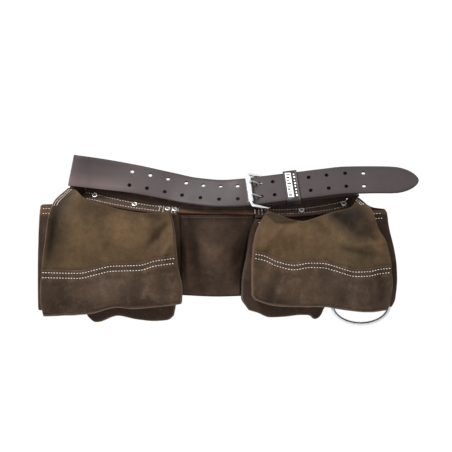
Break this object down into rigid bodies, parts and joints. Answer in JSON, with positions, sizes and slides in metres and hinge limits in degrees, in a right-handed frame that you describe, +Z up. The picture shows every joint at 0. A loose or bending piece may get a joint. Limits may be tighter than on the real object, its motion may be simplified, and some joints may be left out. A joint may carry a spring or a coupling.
{
  "type": "tool belt",
  "caption": "Suede tool apron with two deep double-layer pocket bags and a small middle pocket, hung on a punched leather belt with a two-prong roller buckle and a swinging hammer ring.",
  "frame": {"origin": "a point on the flat back of the middle back panel, in the middle of the apron's height below the belt, where the apron rests against what carries it", "axes": "+X to the right seen from the front, towards the belt's tongue and the hammer ring; +Y backwards, out of the back towards the wearer; +Z up, from the bags to the belt"},
  "size_m": [0.609, 0.1142, 0.2792],
  "materials": {
    "strap_leather": "smooth dark purplish-brown bridle leather, satin, with darker burnished edges",
    "keeper_leather": "smooth dark leather loop, satin",
    "sleeve_suede": "dark brown napped suede, matt, white stitching",
    "olive_suede": "olive-brown napped suede, matt, worn lighter on the bulges, white stitching",
    "brown_suede": "brown napped suede, matt, scuffed, white stitching",
    "dark_suede": "dark brown napped suede, matt",
    "buckle_steel": "nickel-plated steel wire, polished and slightly worn",
    "roller_steel": "bright plated sheet-steel roller, polished",
    "ring_steel": "zinc-plated steel wire, satin",
    "rivet_steel": "plated steel rivet caps, satin with a dark recessed middle",
    "label_white": null
  },
  "bodies": {
    "apron": {"belt_strap": "strap_leather", "fold_rivet_1": "rivet_steel", "fold_rivet_2": "rivet_steel", "band_left": "sleeve_suede", "band_centre": "sleeve_suede", "band_right": "sleeve_suede", "band_rivet_1": "rivet_steel", "band_rivet_2": "rivet_steel", "band_rivet_3": "rivet_steel", "band_rivet_4": "rivet_steel", "band_rivet_5": "rivet_steel", "band_rivet_6": "rivet_steel", "back_panel_left": "dark_suede", "back_panel_centre": "dark_suede", "back_panel_right": "dark_suede", "front_pocket_upper_panel_left": "olive_suede", "front_pocket_lower_panel_left": "brown_suede", "front_pocket_gusset_left": "dark_suede", "rear_pocket_face_left": "brown_suede", "rear_pocket_gusset_left": "dark_suede", "front_pocket_upper_panel_right": "olive_suede", "front_pocket_lower_panel_right": "brown_suede", "front_pocket_gusset_right": "dark_suede", "rear_pocket_face_right": "brown_suede", "rear_pocket_gusset_right": "dark_suede", "centre_pocket_face": "brown_suede", "ring_tab": "strap_leather", "tab_rivet_1": "rivet_steel", "tab_rivet_2": "rivet_steel"},
    "frame": {"buckle_frame": "buckle_steel"},
    "roller": {"buckle_roller": "roller_steel"},
    "prong_up": {"prong_upper": "buckle_steel"},
    "prong_low": {"prong_lower": "buckle_steel"},
    "keeper": {"keeper_loop": "keeper_leather", "keeper_label": "label_white"},
    "ring": {"hammer_ring": "ring_steel"}
  },
  "joints": [
    {"name": "buckle_swing", "type": "hinge", "parent": "apron", "child": "frame", "pos_m": [0.08094, -0.0506, 0.12516], "axis": [-0.1058, 0.4924, 0.8639], "range_deg": [-1.2, 1.2]},
    {"name": "roller_spin", "type": "hinge", "parent": "frame", "child": "roller", "pos_m": [0.05156, -0.06635, 0.13054], "axis": [-0.1058, 0.4924, 0.8639], "continuous": true},
    {"name": "prong_upper_swing", "type": "hinge", "parent": "frame", "child": "prong_up", "pos_m": [0.08094, -0.0506, 0.12516], "axis": [-0.1058, 0.4924, 0.8639], "range_deg": [0, 4]},
    {"name": "prong_lower_swing", "type": "hinge", "parent": "frame", "child": "prong_low", "pos_m": [0.08094, -0.0506, 0.12516], "axis": [-0.1058, 0.4924, 0.8639], "range_deg": [0, 4]},
    {"name": "keeper_slide", "type": "slide", "parent": "apron", "child": "keeper", "axis": [0.9926, 0, 0.1216], "range_m": [-0.005, 0.03]},
    {"name": "ring_swing", "type": "hinge", "parent": "apron", "child": "ring", "pos_m": [0.236, 0.0062, -0.032], "axis": [1, 0, 0], "range_deg": [0, 120]}
  ]
}
